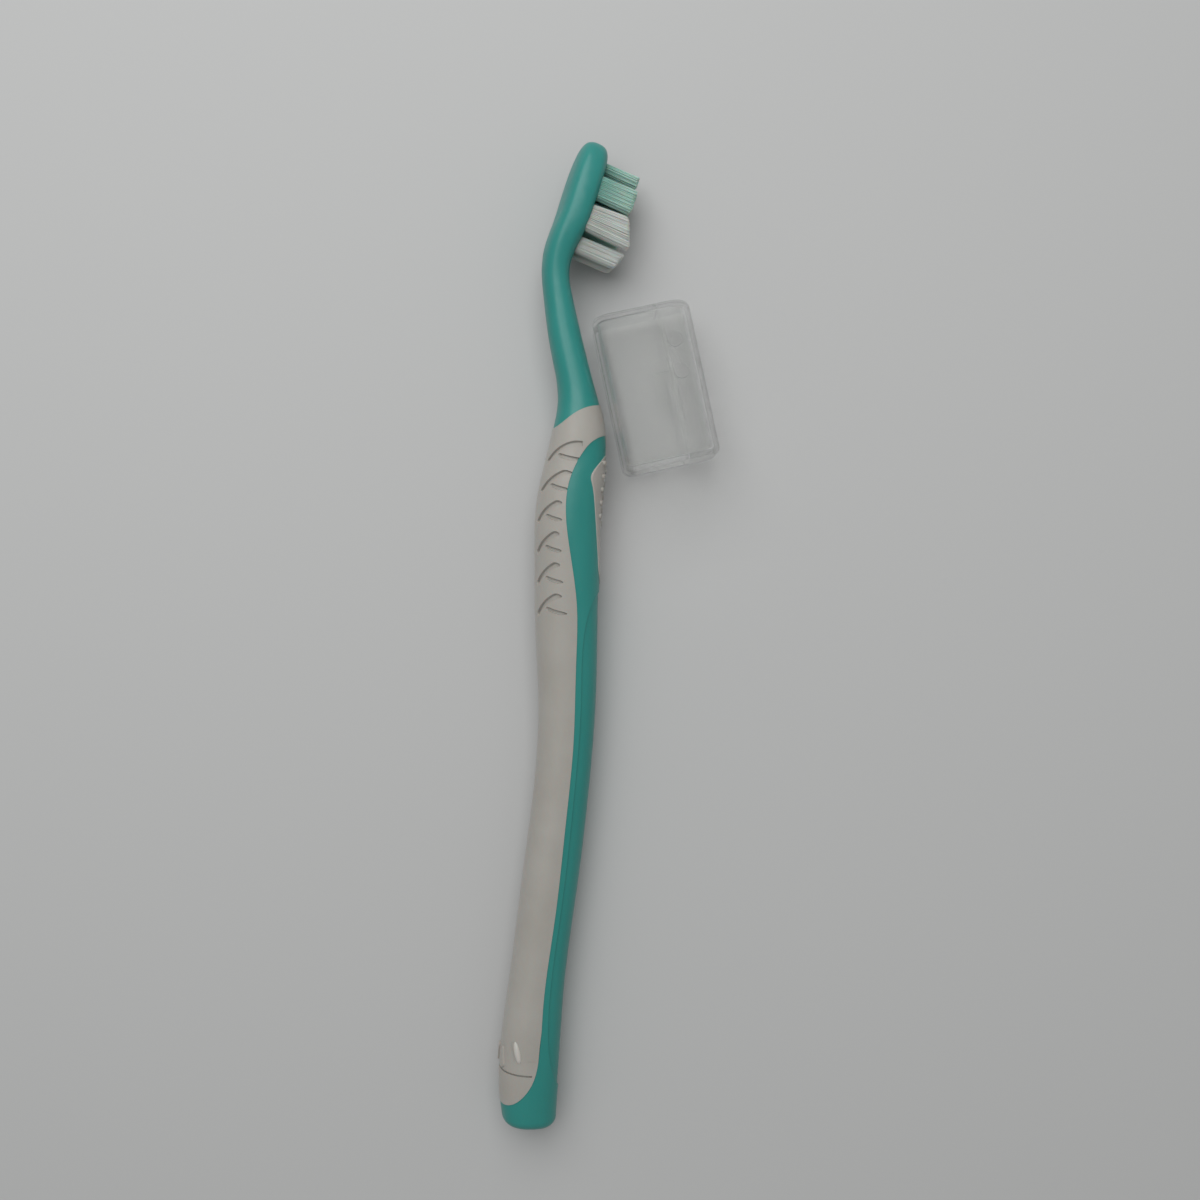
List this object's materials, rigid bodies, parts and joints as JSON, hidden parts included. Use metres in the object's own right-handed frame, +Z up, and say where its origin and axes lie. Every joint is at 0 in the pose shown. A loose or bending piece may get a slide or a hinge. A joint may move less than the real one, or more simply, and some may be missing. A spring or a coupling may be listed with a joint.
{
  "type": "manual toothbrush",
  "caption": "Manual toothbrush with a soft overmoulded grip, a tufted head and a hinged clear travel cap that lies beside it",
  "frame": {"origin": "centre of the overall box at the surface that the brush and its cap lie on", "axes": "+Z up, +Y along the handle towards the head, +X the way the bristles point"},
  "size_m": [0.0366, 0.1868, 0.0148],
  "materials": {
    "core": "gloss",
    "grip": "matte",
    "bristle_white": "satin",
    "bristle_green": "satin",
    "anchor": "satin",
    "cap": "clear"
  },
  "bodies": {
    "brush": {"handle_core": "core", "back_grip": "grip", "thumb_pad": "grip", "long_anchors": "anchor", "short_anchors": "anchor", "tuft_heel_left": "bristle_white", "tuft_heel_right": "bristle_white", "tuft_mid_left": "bristle_white", "tuft_mid_right": "bristle_white", "tuft_tip_left": "bristle_green", "tuft_tip_right": "bristle_green", "tuft_crown": "bristle_green", "tuft_inner_1_left": "bristle_green", "tuft_inner_1_right": "bristle_green", "tuft_inner_2_left": "bristle_green", "tuft_inner_2_right": "bristle_green", "tuft_inner_3_left": "bristle_green", "tuft_inner_3_right": "bristle_green", "tuft_inner_4_left": "bristle_green", "tuft_inner_4_right": "bristle_green", "tuft_inner_5_left": "bristle_green", "tuft_inner_5_right": "bristle_green"},
    "cap_back": {"cap_back": "cap", "cap_hinge_strip": "cap"},
    "cap_front": {"cap_front": "cap"}
  },
  "joints": [
    {"name": "cap_lift", "type": "slide", "parent": "brush", "child": "cap_back", "axis": [0, 0, 1], "range_m": [0, 0.06]},
    {"name": "cap_hinge", "type": "hinge", "parent": "cap_back", "child": "cap_front", "pos_m": [0.00824, 0.04912, 0.01465], "axis": [0.3007, -0.9537, 0], "range_deg": [0, 160], "deforming": ["cap_hinge_strip"]}
  ]
}
